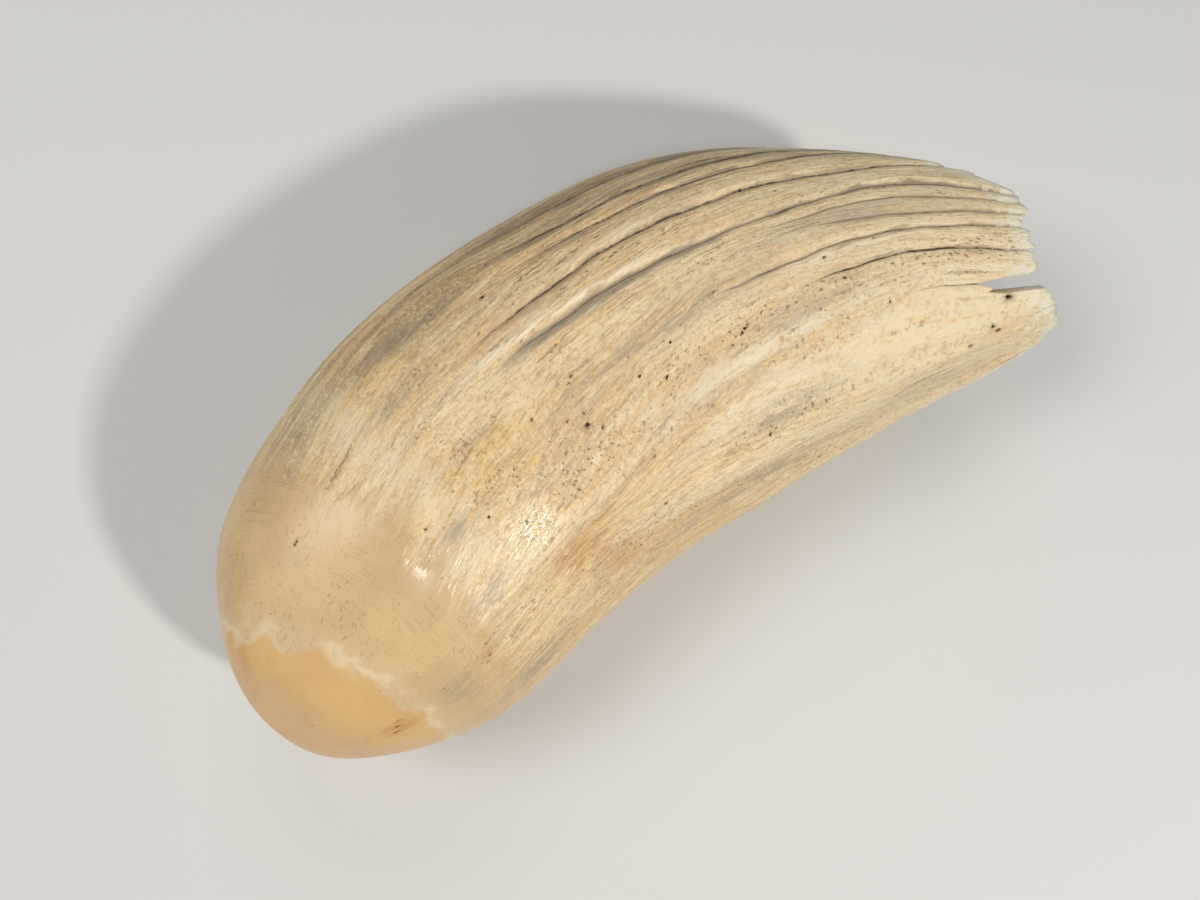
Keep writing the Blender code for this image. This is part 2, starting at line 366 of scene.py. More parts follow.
MARKS: dict[MarkKind, tuple[Mark, ...]] = {
    MarkKind.RUST: (
        Mark(0.345, 136, 9.0, 4.0, 1.0), Mark(0.300, 133, 6.0, 2.5, 0.6), Mark(0.385, 149, 5.0, 2.5, 0.6),
        Mark(0.064, 137, 2.6, 2.2, 0.9), Mark(0.040, 55, 3.0, 1.6, 0.6), Mark(0.151, 135, 1.4, 1.0, 0.7),
        Mark(0.430, 70, 8.0, 2.0, 0.6), Mark(0.331, 102, 7.0, 2.0, 0.25), Mark(0.922, 138, 5.0, 1.2, 0.4),
    ),
    MarkKind.MILK: (
        Mark(0.242, 84, 5.0, 15.0, 0.65), Mark(0.250, 55, 5.0, 12.0, 0.45), Mark(0.214, 112, 5.0, 4.0, 0.6),
        Mark(0.580, 112.5, 17.0, 1.5, 1.3, -5.0), Mark(0.665, 123.5, 25.0, 2.4, 1.2, -45.0),
        Mark(0.620, 146, 24.0, 1.5, 0.9), Mark(0.800, 128, 18.0, 1.8, 0.9, -10.0),
        Mark(0.900, 112, 9.0, 3.0, 0.5),
    ),
    # Painted light on the lit tops of raised ridges beside grooves.
    MarkKind.BRIGHT: (
        Mark(0.485, 75.4, 17.0, 0.55, 1.6, -5.0), Mark(0.670, 111, 26.0, 1.1, 0.6, -50.0),
        Mark(0.560, 63.5, 20.0, 0.8, 0.5, -34.0), Mark(0.760, 89, 16.0, 0.8, 0.5, -40.0),
    ),
    # Partly real grey smudges, partly painted shade bands beside grooves and below lit ridges.
    MarkKind.GREY: (
        Mark(0.203, 121, 6.0, 1.8, 0.6), Mark(0.228, 103, 4.0, 1.2, 1.0), Mark(0.114, 137, 3.0, 4.0, 0.7),
        Mark(0.030, 150, 1.6, 6.0, 0.3), Mark(0.170, 158, 10.0, 3.0, 0.8),
        Mark(0.500, 79.5, 17.0, 1.4, 1.0, -12.0), Mark(0.560, 94, 24.0, 3.0, 0.8, -38.0),
        Mark(0.700, 106, 16.0, 2.6, 0.7, -30.0),
        Mark(0.360, 50, 12.0, 2.5, 0.8, 20.0), Mark(0.300, 66, 9.0, 1.6, 0.7, 20.0),
        Mark(0.860, 67, 20.0, 2.4, 0.2, -30.0), Mark(0.640, 117, 20.0, 1.8, 0.6, -20.0),
        Mark(0.690, 134, 20.0, 1.6, 0.3), Mark(0.620, 153, 26.0, 2.2, 0.9), Mark(0.860, 150, 12.0, 3.0, 0.6),
        Mark(0.790, 77, 18.0, 2.0, 0.8, -40.0), Mark(0.580, 31, 34.0, 2.2, 1.0, -30.0),
        Mark(0.640, 43, 30.0, 1.6, 0.8, -30.0), Mark(0.665, 131, 12.0, 2.2, 0.6, -30.0),
    ),
    MarkKind.SPECKS: (
        Mark(0.680, 104.0, 32.0, 3.8, 1.2, -25.0), Mark(0.690, 135, 20.0, 2.2, 1.1),
        Mark(0.520, 121, 16.0, 2.0, 0.8, -20.0), Mark(0.730, 113, 16.0, 1.4, 0.9, -30.0),
        Mark(0.393, 110, 9.0, 3.0, 0.9), Mark(0.140, 131, 2.6, 7.0, 0.7),
        Mark(0.515, 148, 18.0, 2.2, 0.9, 10.0), Mark(0.665, 131, 12.0, 2.2, 1.0, -30.0),
        Mark(0.340, 66, 10.0, 2.2, 0.8, 20.0),
    ),
    MarkKind.POLISH: (Mark(0.183, 99, 6.0, 6.5, 0.62), Mark(0.300, 118, 9.5, 4.2, 0.9)),
}


@dataclass(frozen=True)
class Pit:
    """A small dark hole, placed by station and angle."""

    station: float
    angle: float
    radius: float
    depth: float = 0.35


PITS = (
    Pit(0.445, 106, 0.62, 0.6), Pit(0.449, 103, 0.34), Pit(0.457, 109, 0.28), Pit(0.430, 102, 0.30),
    Pit(0.695, 60, 0.42), Pit(0.753, 90, 0.42), Pit(0.927, 122, 0.75, 0.8), Pit(0.640, 105, 0.42),
    Pit(0.645, 104, 0.34), Pit(0.625, 107, 0.34), Pit(0.542, 107, 0.46), Pit(0.518, 103, 0.34),
    Pit(0.399, 96, 0.36), Pit(0.454, 94, 0.26), Pit(0.460, 93, 0.30), Pit(0.440, 58, 0.36),
    Pit(0.568, 68, 0.34), Pit(0.561, 68.5, 0.30), Pit(0.555, 69, 0.26), Pit(0.140, 66, 0.36),
    Pit(0.642, 138, 0.46), Pit(0.455, 114, 0.28), Pit(0.342, 103, 0.26), Pit(0.337, 105, 0.26),
    Pit(0.562, 99, 0.26), Pit(0.808, 110, 0.22), Pit(0.888, 140, 0.42), Pit(0.910, 134, 0.50),
    Pit(0.915, 137, 0.40), Pit(0.267, 107, 0.36), Pit(0.212, 96, 0.30), Pit(0.728, 63, 0.30),
    Pit(0.807, 86, 0.26), Pit(0.768, 98, 0.34), Pit(0.064, 136, 0.34), Pit(0.069, 133, 0.26),
    Pit(0.060, 139, 0.28), Pit(0.152, 136, 0.26), Pit(0.386, 250, 0.5), Pit(0.52, 215, 0.4),
    Pit(0.61, 300, 0.5), Pit(0.71, 335, 0.45), Pit(0.66, 181, 0.4), Pit(0.80, 270, 0.5),
)


class Wiring:
    """Adds nodes to one tree and joins them."""

    def __init__(self, tree: bpy.types.NodeTree) -> None:
        """Keeps the shader or geometry node tree that the nodes go in."""
        self.tree = tree

    def feed(self, socket: Socket, value: Optional[Value]) -> None:
        """Joins a socket to another, or sets its own value.

        Args:
            socket: The input.
            value: An output socket, a plain value, or None to leave it.
        """
        if isinstance(value, bpy.types.NodeSocket):
            self.tree.links.new(value, socket)
        elif value is not None:
            socket.default_value = value

    def add(self, kind: str, inputs: Optional[dict] = None, **settings: object) -> bpy.types.Node:
        """Adds a node.

        Args:
            kind: The node's type name.
            inputs: Values or sockets for its inputs, by name or number.
            **settings: Its other properties.

        Returns:
            The node.
        """
        node = self.tree.nodes.new(kind)
        for name, value in settings.items():
            setattr(node, name, value)
        for name, value in (inputs or {}).items():
            self.feed(node.inputs[name], value)
        return node

    def maths(self, kind: str, first: Value, second: Optional[Value] = None, clamp: bool = False) -> Socket:
        """Adds a sum on one or two numbers.

        Args:
            kind: Blender's name for it, such as MULTIPLY.
            first: First number.
            second: Second number, where it takes one.
            clamp: Whether the result is kept from 0 to 1.

        Returns:
            The result.
        """
        return self.add("ShaderNodeMath", {0: first, 1: second}, operation=kind, use_clamp=clamp).outputs[0]

    def times(self, first: Value, second: Value) -> Socket:
        """Multiplies two numbers."""
        return self.maths("MULTIPLY", first, second)

    def plus(self, first: Value, second: Value) -> Socket:
        """Adds two numbers."""
        return self.maths("ADD", first, second)

    def less(self, first: Value, second: Value) -> Socket:
        """Takes the second number from the first."""
        return self.maths("SUBTRACT", first, second)

    def span(self, value: Value, low: float, high: float, start: Value = 0.0, end: Value = 1.0) -> Socket:
        """Maps a range smoothly to another.

        Args:
            value: What is mapped.
            low: Where the range starts.
            high: Where it ends.
            start: The result at low.
            end: The result at high.

        Returns:
            The mapped value.
        """
        inputs = {"Value": value, "From Min": low, "From Max": high, "To Min": start, "To Max": end}
        return self.add("ShaderNodeMapRange", inputs, interpolation_type="SMOOTHSTEP").outputs[0]

    def vector(self, kind: str, first: Value, second: Optional[Value] = None) -> Socket:
        """Adds a sum on vectors.

        Args:
            kind: Blender's name for it.
            first: First vector.
            second: Second vector, where it takes one.

        Returns:
            The result, a number for DISTANCE and a vector otherwise.
        """
        node = self.add("ShaderNodeVectorMath", {0: first, 1: second}, operation=kind)
        return node.outputs["Value" if kind == "DISTANCE" else "Vector"]

    def blend(self, share: Value, base: Value, layer: Value) -> Socket:
        """Lays one colour over another.

        Args:
            share: How much of the layer shows.
            base: The colour below.
            layer: The colour above.

        Returns:
            The mixed colour.
        """
        node = self.add("ShaderNodeMix", data_type="RGBA")
        self.feed(node.inputs["Factor"], share)
        self.feed(node.inputs[6], base)
        self.feed(node.inputs[7], layer)
        return node.outputs[2]

    def noise(self, place: Value, scale: float, detail: float = 3.0, roughness: float = 0.55) -> Socket:
        """Adds plain noise, mostly from 0.3 to 0.7.

        Args:
            place: Where it is read.
            scale: How fine it is.
            detail: How many layers it has.
            roughness: How strong the fine layers are.

        Returns:
            The noise.
        """
        inputs = {"Vector": place, "Scale": scale, "Detail": detail, "Roughness": roughness}
        return self.add("ShaderNodeTexNoise", inputs).outputs[0]


class Effect(Wiring):
    """A shared effect: a shader node group that is read at a place drawn out along the grain."""

    def __init__(self, name: str, inputs: dict[str, float], outputs: Sequence[str]) -> None:
        """Starts the group, with a place for its first input.

        Args:
            name: The group's name.
            inputs: Its number inputs with their usual values.
            outputs: Names of its number outputs.
        """
        super().__init__(bpy.data.node_groups.new(name, "ShaderNodeTree"))
        face = self.tree.interface
        face.new_socket("Place", in_out="INPUT", socket_type="NodeSocketVector")
        for label, usual in inputs.items():
            face.new_socket(label, in_out="INPUT", socket_type="NodeSocketFloat").default_value = usual
        for label in outputs:
            face.new_socket(label, in_out="OUTPUT", socket_type="NodeSocketFloat")
        self.given = self.add("NodeGroupInput").outputs
        self.result = self.add("NodeGroupOutput").inputs

    def drawn_out(self) -> Socket:
        """Squeezes the place along the grain and shifts it, to draw out a pattern.

        Returns:
            The squeezed place.
        """
        scale, shift = self.given["Scale"], self.given["Shift"]
        along = self.maths("DIVIDE", scale, self.given["Stretch"])
        scales = self.add("ShaderNodeCombineXYZ", {0: scale, 1: scale, 2: along}).outputs[0]
        shifts = self.add("ShaderNodeCombineXYZ", {0: shift, 2: shift}).outputs[0]
        return self.vector("ADD", self.vector("MULTIPLY", self.given["Place"], scales), shifts)


def grain_effect() -> bpy.types.NodeTree:
    """Builds streaks that run along the grain.

    Returns:
        The group.
    """
    usual = {"Scale": 1.0, "Stretch": 12.0, "Shift": 0.0, "Detail": 3.0, "Bend": 0.0}
    effect = Effect("grain streaks", usual | {"Low": 0.4, "High": 0.6}, ["Streaks", "Height"])
    given = effect.given
    inputs = {"Vector": effect.drawn_out(), "Scale": 1.0, "Detail": given["Detail"]}
    inputs |= {"Roughness": 0.6, "Distortion": given["Bend"]}
    height = effect.add("ShaderNodeTexNoise", inputs).outputs[0]
    effect.feed(effect.result["Streaks"], effect.span(height, given["Low"], given["High"]))
    effect.feed(effect.result["Height"], height)
    return effect.tree


def speckle_effect() -> bpy.types.NodeTree:
    """Builds scattered dots, or scratches where they are drawn out far.

    Returns:
        The group.
    """
    usual = {"Scale": 1.0, "Stretch": 1.6, "Shift": 0.0, "Size": 0.25, "Share": 0.5}
    effect = Effect("speckle dots", usual, ["Dots"])
    cells = effect.add("ShaderNodeTexVoronoi", {"Vector": effect.drawn_out(), "Scale": 1.0})
    pick = effect.add("ShaderNodeSeparateColor", {0: cells.outputs["Color"]}).outputs
    kept = effect.maths("LESS_THAN", pick[0], effect.given["Share"])
    size = effect.times(effect.given["Size"], effect.span(pick[1], 0.0, 1.0, 0.45, 1.2))
    dots = effect.span(effect.less(size, cells.outputs["Distance"]), -0.03, 0.05)
    effect.feed(effect.result["Dots"], effect.times(dots, kept))
    return effect.tree


@dataclass(frozen=True)
class IvoryTones:
    """Colours of worn ivory, from polished crown to dry root, with tones used as painted shade and painted
    light.
    """

    cream: Colour = paint(245, 211, 152)
    warm: Colour = paint(234, 194, 132)
    pale: Colour = paint(250, 227, 180)
    grey: Colour = paint(206, 182, 148)
    tan: Colour = paint(206, 170, 118)
    shadow: Colour = paint(150, 124, 90)
    speck: Colour = paint(106, 72, 38)
    crown: Colour = paint(216, 184, 134)
    milk: Colour = paint(242, 223, 184)
    core: Colour = paint(222, 178, 120)
    rust: Colour = paint(206, 146, 86)
    crack: Colour = paint(70, 57, 43)
    # Dark brown-grey painted shade for groove valleys, groove sides and the pulp cavity; it also darkens
    # fine lines on the upper flank.
    valley: Colour = paint(114, 98, 78)
    # Grey for grey patches and for the painted shade band beside grooves.
    grey_and_shade: Colour = paint(172, 156, 132)
    # Near-white painted light for lit ridge tops.
    bright: Colour = paint(255, 240, 206)
    # The root's pale dry colour, also used as painted light that brightens the dimly lit root.
    dry: Colour = paint(242, 226, 188)
    chalk: Colour = paint(240, 234, 214)
    hollow: Colour = paint(178, 150, 112)
    # The pulp cavity's brown, also the lighter part of its painted shade.
    pit: Colour = paint(44, 31, 20)


IVORY = IvoryTones()


@dataclass(frozen=True)
class Streak:
    """A layer of streaks along the grain, laid over the colours below it."""

    place: str
    scale: float
    stretch: float
    shift: float
    detail: float
    low: float
    high: float
    strength: float
    tone: Colour


BODY_STREAKS = (
    Streak("grain", 0.12, 9.0, 3.0, 3.0, 0.42, 0.58, 0.75, IVORY.warm),
    Streak("grain", 0.26, 16.0, 41.0, 3.0, 0.54, 0.59, 0.34, IVORY.tan),
    Streak("grain", 0.30, 14.0, 11.0, 3.0, 0.51, 0.57, 0.75, IVORY.pale),
    Streak("slant", 0.26, 12.0, 7.0, 3.0, 0.54, 0.60, 0.45, IVORY.grey),
    Streak("slant", 0.70, 13.0, 13.0, 3.0, 0.55, 0.61, 0.40, IVORY.grey),
    Streak("slant", 1.20, 13.0, 5.0, 2.0, 0.54, 0.60, 0.42, IVORY.tan),
    Streak("slant", 1.00, 10.0, 17.0, 2.0, 0.54, 0.60, 0.55, IVORY.pale),
    Streak("slant", 2.10, 10.0, 9.0, 1.0, 0.57, 0.64, 0.40, IVORY.shadow),
)
MOTTLES = (
    Streak("bent", 2.20, 1.7, 19.0, 1.0, 0.54, 0.60, 0.50, IVORY.pale),
    Streak("bent", 1.60, 1.8, 29.0, 2.0, 0.55, 0.61, 0.52, IVORY.tan),
)


class IvoryFinish(Wiring):
    """Worn ivory, from polished crown to dry root, with painted shade and painted light, wired into one
    material.

    read holds the skin's own fields and the patterns that several layers use.
    """

    fields = ("crown", "core", "groove", "cut", "crack", "shade", "lee", "rim", "root", "flank", "inside")
    crown_roughness = 0.30
    polished_roughness = 0.15
    body_roughness = (0.40, 0.52)
    dry_roughness = 0.64
    pit_roughness = 0.9
    pit_dash = (1.0, 1.0, 0.5)

    def __init__(self, pits: Array) -> None:
        """Builds the material.

        Args:
            pits: Places of the dark pits in the slanted grain, with their radius last.
        """
        self.material = bpy.data.materials.new("worn_ivory")
        self.material.use_nodes = True
        super().__init__(self.material.node_tree)
        self.grain = grain_effect()
        self.speckle = speckle_effect()
        self.read: dict[str, Socket] = {}
        self.read_fields()
        self.read_patterns()
        self.read_pits(pits)
        colour = self.blend(self.read["on_crown"], self.body_colour(), self.crown_colour())
        colour = self.root_end(self.grooved(self.marked(colour)))
        colour = self.over(colour, (self.read["halo"], IVORY.speck), (self.read["dark"], IVORY.pit))
        surface = self.tree.nodes["Principled BSDF"].inputs
        self.feed(surface["Base Color"], colour)
        self.feed(surface["Roughness"], self.gloss())
        self.feed(surface["Normal"], self.relief())

    def over(self, colour: Value, *layers: tuple[Value, Value]) -> Value:
        """Lays tones over a colour.

        Args:
            colour: The colour below.
            *layers: How much of each tone shows and the tone, lowest first.

        Returns:
            The mixed colour.
        """
        for share, tone in layers:
            colour = self.blend(share, colour, tone)
        return colour

    def between(self, mask: Value, start: Value, end: Value) -> Socket:
        """Goes from one value to another as a mask goes from 0 to 1."""
        return self.span(mask, 0.0, 1.0, start, end)

    def offset(self, noise: Socket, most: float) -> Socket:
        """Turns noise into an offset of up to most each way."""
        return self.span(noise, 0.3, 0.7, -most, most)

    def effect(self, group: bpy.types.NodeTree, place: Value, values: dict[str, Value]) -> dict[str, Socket]:
        """Places a shared effect with its own values, and gives its outputs by name."""
        node = self.add("ShaderNodeGroup", {"Place": place} | values, node_tree=group)
        return {output.name: output for output in node.outputs}

    def streaks(
        self, place: str, scale: float, stretch: float, shift: float, **limits: float
    ) -> dict[str, Socket]:
        """Places streaks along the grain.

        Args:
            place: Name of the coordinates that they are read in.
            scale: How fine they are across the grain.
            stretch: How far they are drawn out along it.
            shift: Tells one set from another.
            **limits: Detail, Bend, Low and High, where they aren't the usual ones.

        Returns:
            Their Streaks, a mask, and their Height.
        """
        values = {"Scale": scale, "Stretch": stretch, "Shift": shift} | limits
        return self.effect(self.grain, self.read[place], values)

    def dots(
        self, place: Value, scale: float, stretch: float, shift: float, size: float, share: float
    ) -> Socket:
        """Places dots, or lines where they are drawn out far.

        Args:
            place: Where they are read.
            scale: How close together they are across the grain.
            stretch: How far they are drawn out along it.
            shift: Tells one set from another.
            size: Their radius in cells.
            share: The share of cells that has one.

        Returns:
            A mask, 1 in a dot.
        """
        values = {"Scale": scale, "Stretch": stretch, "Shift": shift, "Size": size, "Share": share}
        return self.effect(self.speckle, place, values)["Dots"]

    def streaked(self, colour: Value, layers: Sequence[Streak]) -> Value:
        """Lays streaks of several tones over a colour.

        Args:
            colour: The colour below.
            layers: The streaks, lowest first.

        Returns:
            The streaked colour.
        """
        for layer in layers:
            limits = {"Detail": layer.detail, "Low": layer.low, "High": layer.high}
            mask = self.streaks(layer.place, layer.scale, layer.stretch, layer.shift, **limits)["Streaks"]
            colour = self.blend(self.times(mask, layer.strength), colour, layer.tone)
        return colour

    def read_fields(self) -> None:
        """Reads the fields stored on the skin, and its place in millimetres."""
        for label in (*self.fields, *(kind.value for kind in MarkKind)):
            self.read[label] = self.add("ShaderNodeAttribute", attribute_name=label).outputs["Fac"]
        for label in ("grain", "slant"):
            self.read[label] = self.add("ShaderNodeAttribute", attribute_name=label).outputs["Vector"]
        metres = self.add("ShaderNodeTexCoord").outputs["Object"]
        self.read["place"] = self.vector("MULTIPLY", metres, (1.0 / MM, 1.0 / MM, 1.0 / MM))

    def read_patterns(self) -> None:
        """Makes the patterns that several layers use."""
        read = self.read
        read["ripple"] = self.noise(read["place"], 0.11)
        read["fine"] = self.noise(read["place"], 1.6, 2.0, 0.65)
        read["cloud"] = self.noise(read["place"], 0.07)
        ragged = self.offset(self.streaks("slant", 0.35, 5.0, 31.0)["Height"], 3.5)
        read["on_crown"] = self.span(self.plus(read["crown"], ragged), -8.0, 2.0)
        read["age"] = self.span(read["crown"], -3.0, -70.0, 0.12, 1.0)
        bark = self.streaks("slant", 1.15, 9.0, 2.0, Bend=0.5, Low=0.38, High=0.52)
        read["bark"], read["bark_height"] = bark["Streaks"], bark["Height"]
        jitter = self.add("ShaderNodeTexNoise", {"Vector": read["place"], "Scale": 0.9, "Detail": 2.0})
        bent = read["bent"] = self.vector("ADD", read["slant"], jitter.outputs["Color"])
        read["lines"] = self.dots(bent, 0.95, 24.0, 6.0, 0.17, 0.66)
        read["flecks"] = self.dots(bent, 2.0, 2.6, 2.0, 0.31, 0.66)
        read["holes"] = self.dots(bent, 0.42, 2.4, 8.0, 0.085, 0.40)
        where = self.streaks("grain", 0.15, 6.0, 23.0, Low=0.52, High=0.60)["Streaks"]
        read["spread"] = self.maths("ADD", self.times(where, 0.7), read["specks"], clamp=True)
        read["dots"] = self.times(read["flecks"], read["spread"])

    def read_pits(self, pits: Array) -> None:
        """Marks each pit, a short dash along the grain, and the stain round it.

        Args:
            pits: Places in the slanted grain, with the radius last.
        """
        slant = self.read["slant"]
        waver = self.times(self.less(self.noise(slant, 3.2, 2.0), 0.5), 0.75)
        place = self.vector("MULTIPLY", slant, self.pit_dash)
        nearest: Value = 9.0
        for *centre, radius in pits:
            middle = tuple(np.array(centre) * self.pit_dash)
            away = self.plus(self.vector("DISTANCE", place, middle), waver)
            nearest = self.maths("MINIMUM", nearest, self.maths("DIVIDE", away, radius))
        self.read["dark"] = self.span(nearest, 0.32, 0.62, 1.0, 0.0)
        self.read["halo"] = self.span(nearest, 0.4, 1.5, 0.35, 0.0)

    def body_colour(self) -> Value:
        """Colours the body: cream with warm, pale and grey streaks, lines and specks, painted shade on the
        upper flank, and a pale veil at the root that is partly painted light.

        Returns:
            The colour.
        """
        read, flank = self.read, self.read["flank"]
        # dim and the dark streaks below are painted shade on the upper flank, laid with its real darker
        # streaks.
        dim = self.times(self.less(1.0, read["bark"]), self.between(flank, 0.16, 0.55))
        dark = self.streaks("slant", 0.6, 16.0, 37.0, Low=0.44, High=0.55)["Streaks"]
        colour = self.over(
            self.streaked(IVORY.cream, BODY_STREAKS),
            (self.times(dim, read["age"]), IVORY.tan),
            (self.times(flank, self.between(dark, 0.05, 0.62)), IVORY.shadow),
            # Paler dry veil towards the root: partly the root's own dry colour, partly painted light where
            # the lamps leave it dim.
            (self.times(read["root"], self.span(read["bark_height"], 0.38, 0.58, 0.35, 0.85)), IVORY.dry),
        )
        return self.over(
            self.streaked(colour, MOTTLES),
            (
                # Fine lines turn darker on the upper flank: partly real fibres, partly painted shade.
                self.times(read["lines"], self.span(flank, 0.0, 0.6, 0.50, 0.95)),
                self.blend(flank, IVORY.shadow, IVORY.valley),
            ),
            (self.times(read["spread"], self.span(read["fine"], 0.42, 0.60, 0.0, 0.36)), IVORY.tan),
            (self.times(read["dots"], 0.70), IVORY.speck),
            (self.times(read["holes"], 0.85), IVORY.speck),
        )

    def crown_colour(self) -> Value:
        """Colours the polished crown, with its scratches, flecks and bared core.

        Returns:
            The colour.
        """
        read = self.read
        mottle = self.span(read["ripple"], 0.38, 0.62)
        arc = self.span(self.maths("ABSOLUTE", self.plus(read["crown"], 1.2)), 0.0, 1.7, 0.62, 0.0)
        uneven = self.offset(self.noise(read["place"], 0.22, 3.0, 0.5), 1.3)
        core = self.plus(read["core"], uneven)
        milky = self.times(self.span(core, -2.0, -0.4), self.span(read["ripple"], 0.40, 0.56, 0.0, 0.6))
        colour = self.over(
            IVORY.crown,
            (self.times(mottle, 0.30), IVORY.cream),
            (self.times(self.span(read["fine"], 0.52, 0.66), 0.22), IVORY.tan),
        )
        return self.over(
            self.scratched(colour),
            (self.times(read["flecks"], self.span(read["cloud"], 0.44, 0.60, 0.12, 0.45)), IVORY.shadow),
            (self.times(arc, self.span(read["fine"], 0.3, 0.6)), IVORY.tan),
            (self.span(self.noise(read["place"], 2.4, 1.0, 0.6), 0.56, 0.66, 0.0, 0.30), IVORY.tan),
            (self.times(self.span(core, -5.0, -0.3), 0.22), IVORY.milk),
            (milky, IVORY.milk),
            (self.span(core, -0.7, 1.1), self.blend(self.times(mottle, 0.35), IVORY.core, IVORY.warm)),
        )

    def scratched(self, colour: Value) -> Value:
        """Lays fine scratches beside the shoulder's arc, and a few across it.

        Args:
            colour: The colour below.

        Returns:
            The scratched colour.
        """
        shoulder = self.read["crown"]
        flat = self.add("ShaderNodeSeparateXYZ", {0: self.read["grain"]}).outputs
        arc = self.add("ShaderNodeCombineXYZ", {0: flat[0], 1: flat[1], 2: shoulder}).outputs[0]
        patchy = self.span(self.read["cloud"], 0.42, 0.54, 0.25, 1.0)
        near = self.times(self.span(shoulder, 20.0, 2.0, 0.10, 0.50), patchy)
        for tilt, shift, share, most in ((0.08, 4.0, 0.60, near), (1.30, 19.0, 0.06, 0.25)):
            inputs = {"Vector": arc, "Angle": tilt}
            turned = self.add("ShaderNodeVectorRotate", inputs, rotation_type="Y_AXIS").outputs[0]
            lines = self.dots(turned, 0.12, 0.022, shift, 0.30, share)
            colour = self.blend(self.times(lines, most), colour, IVORY.shadow)
        return colour

    def marked(self, colour: Value) -> Value:
        """Lays the milky, grey, rust and lit-ridge patches over a colour: grey patches are partly painted
        shade beside grooves and ridges, and lit-ridge patches are painted light on ridge tops.

        Args:
            colour: The colour below.

        Returns:
            The colour with its patches.
        """
        broken = self.span(self.read["bark_height"], 0.38, 0.56, 0.12, 1.0)
        # The grey tone goes darker on the upper flank: painted shade.
        grey_and_flank_shade = self.blend(self.times(self.read["flank"], 0.8), IVORY.grey_and_shade, IVORY.valley)
        layers = (
            (MarkKind.MILK, IVORY.milk, 0.8),
            (MarkKind.GREY, grey_and_flank_shade, 0.75),
            (MarkKind.RUST, IVORY.rust, 0.75),
            # Painted light on ridge tops.
            (MarkKind.BRIGHT, IVORY.bright, 0.9),
        )
        for kind, tone, most in layers:
            share = self.maths("MULTIPLY", self.times(self.read[kind.value], broken), 1.2, clamp=True)
            colour = self.blend(self.times(share, most), colour, tone)
        return colour

    def grooved(self, colour: Value) -> Value:
        """Paints shade on the grooves' sides and in their valleys, and darkens the cracks in their bottoms.

        Args:
            colour: The colour below.

        Returns:
            The colour with its grooves.
        """
        read, flank, groove = self.read, self.read["flank"], self.read["groove"]
        strength = self.span(read["cut"], 0.1, 1.0)
        narrow = self.less(self.plus(self.times(read["root"], 0.9), 0.75), self.times(flank, 0.35))
        spread = self.times(groove, self.between(read["lee"], 2.8, narrow))
        side = self.span(self.plus(spread, self.offset(read["bark_height"], 0.8)), 0.1, 1.9, 1.0, 0.0)
        side = self.times(side, self.times(strength, read["shade"]))
        waver = self.span(self.noise(read["place"], 0.5, 4.0, 0.65), 0.38, 0.62, 0.01, 0.16)
        reach = self.times(waver, self.plus(read["crack"], 0.2))
        line = self.maths("SUBTRACT", 1.0, self.maths("DIVIDE", groove, reach), clamp=True)
        deep = self.times(self.span(groove, 0.04, 0.26, 1.0, 0.0), strength)
        # Painted shade: a grey band on each groove's lee side, darker on the upper flank, and a darker brown
        # in the valley.
        return self.over(
            colour,
            (
                self.times(side, self.span(read["bark_height"], 0.36, 0.60, 1.0, 0.62)),
                self.blend(self.times(flank, 0.7), IVORY.grey_and_shade, IVORY.valley),
            ),
            (self.times(deep, 0.42), IVORY.valley),
            (self.times(self.span(line, 0.0, 0.6), self.times(strength, read["crack"])), IVORY.crack),
        )

    def root_end(self, colour: Value) -> Value:
        """Bleaches the broken rim and colours the pulp cavity, turning to its brown inwards with painted
        shade in the recess.

        Args:
            colour: The colour below.

        Returns:
            The colour with its root end.
        """
        read = self.read
        edge = self.plus(read["rim"], self.offset(self.noise(read["place"], 0.4, 4.0, 0.7), 3.0))
        # The cavity turns to its brown towards the inside, with darker patches: partly its own colour,
        # partly painted shade in the recess.
        hollow = self.blend(self.span(read["ripple"], 0.35, 0.65), IVORY.hollow, IVORY.valley)
        bleached = self.times(self.span(edge, 5.6, 1.0), 0.68)
        return self.over(colour, (bleached, IVORY.chalk), (self.span(read["inside"], 0.55, 1.0), hollow))

    def gloss(self) -> Socket:
        """Works out the roughness: polished crown, satin body, dry root and pits.

        Returns:
            The roughness.
        """
        read = self.read
        rough = self.span(read["crown"], -8.0, -45.0, *self.body_roughness)
        rough = self.plus(rough, self.span(read["fine"], 0.35, 0.65, -0.07, 0.08))
        rough = self.between(read["on_crown"], rough, self.crown_roughness)
        rough = self.span(read["polish"], 0.05, 0.8, rough, self.polished_roughness)
        dry = self.times(self.maths("MAXIMUM", read["root"], read["inside"]), self.dry_roughness)
        rough = self.maths("MAXIMUM", rough, dry)
        return self.maths("MAXIMUM", rough, self.times(read["dark"], self.pit_roughness))

    def relief(self) -> Socket:
        """Adds up the finest relief, in millimetres.

        Returns:
            The bumped normal.
        """
        read = self.read
        ribs = self.streaks("slant", 2.6, 8.0, 4.0, Detail=1.0, Bend=0.5)["Height"]
        off_crown = self.between(read["on_crown"], 1.0, 0.05)
        bark = self.times(self.times(off_crown, read["age"]), self.between(read["flank"], 0.34, 0.80))
        amounts = (
            (read["bark_height"], self.times(bark, self.span(read["root"], 0.3, 1.0, 1.0, 0.55))),
            (ribs, self.times(off_crown, 0.20)),
            (read["fine"], self.between(read["on_crown"], 0.07, 0.008)),
            (read["dots"], -0.06),
            (read["holes"], -0.12),
            (read["lines"], self.times(off_crown, -0.10)),
        )
        height: Value = 0.0
        for layer, amount in amounts:
            height = self.plus(height, self.times(layer, amount))
        return self.add("ShaderNodeBump", {"Strength": 1.0, "Distance": MM, "Height": height}).outputs[0]


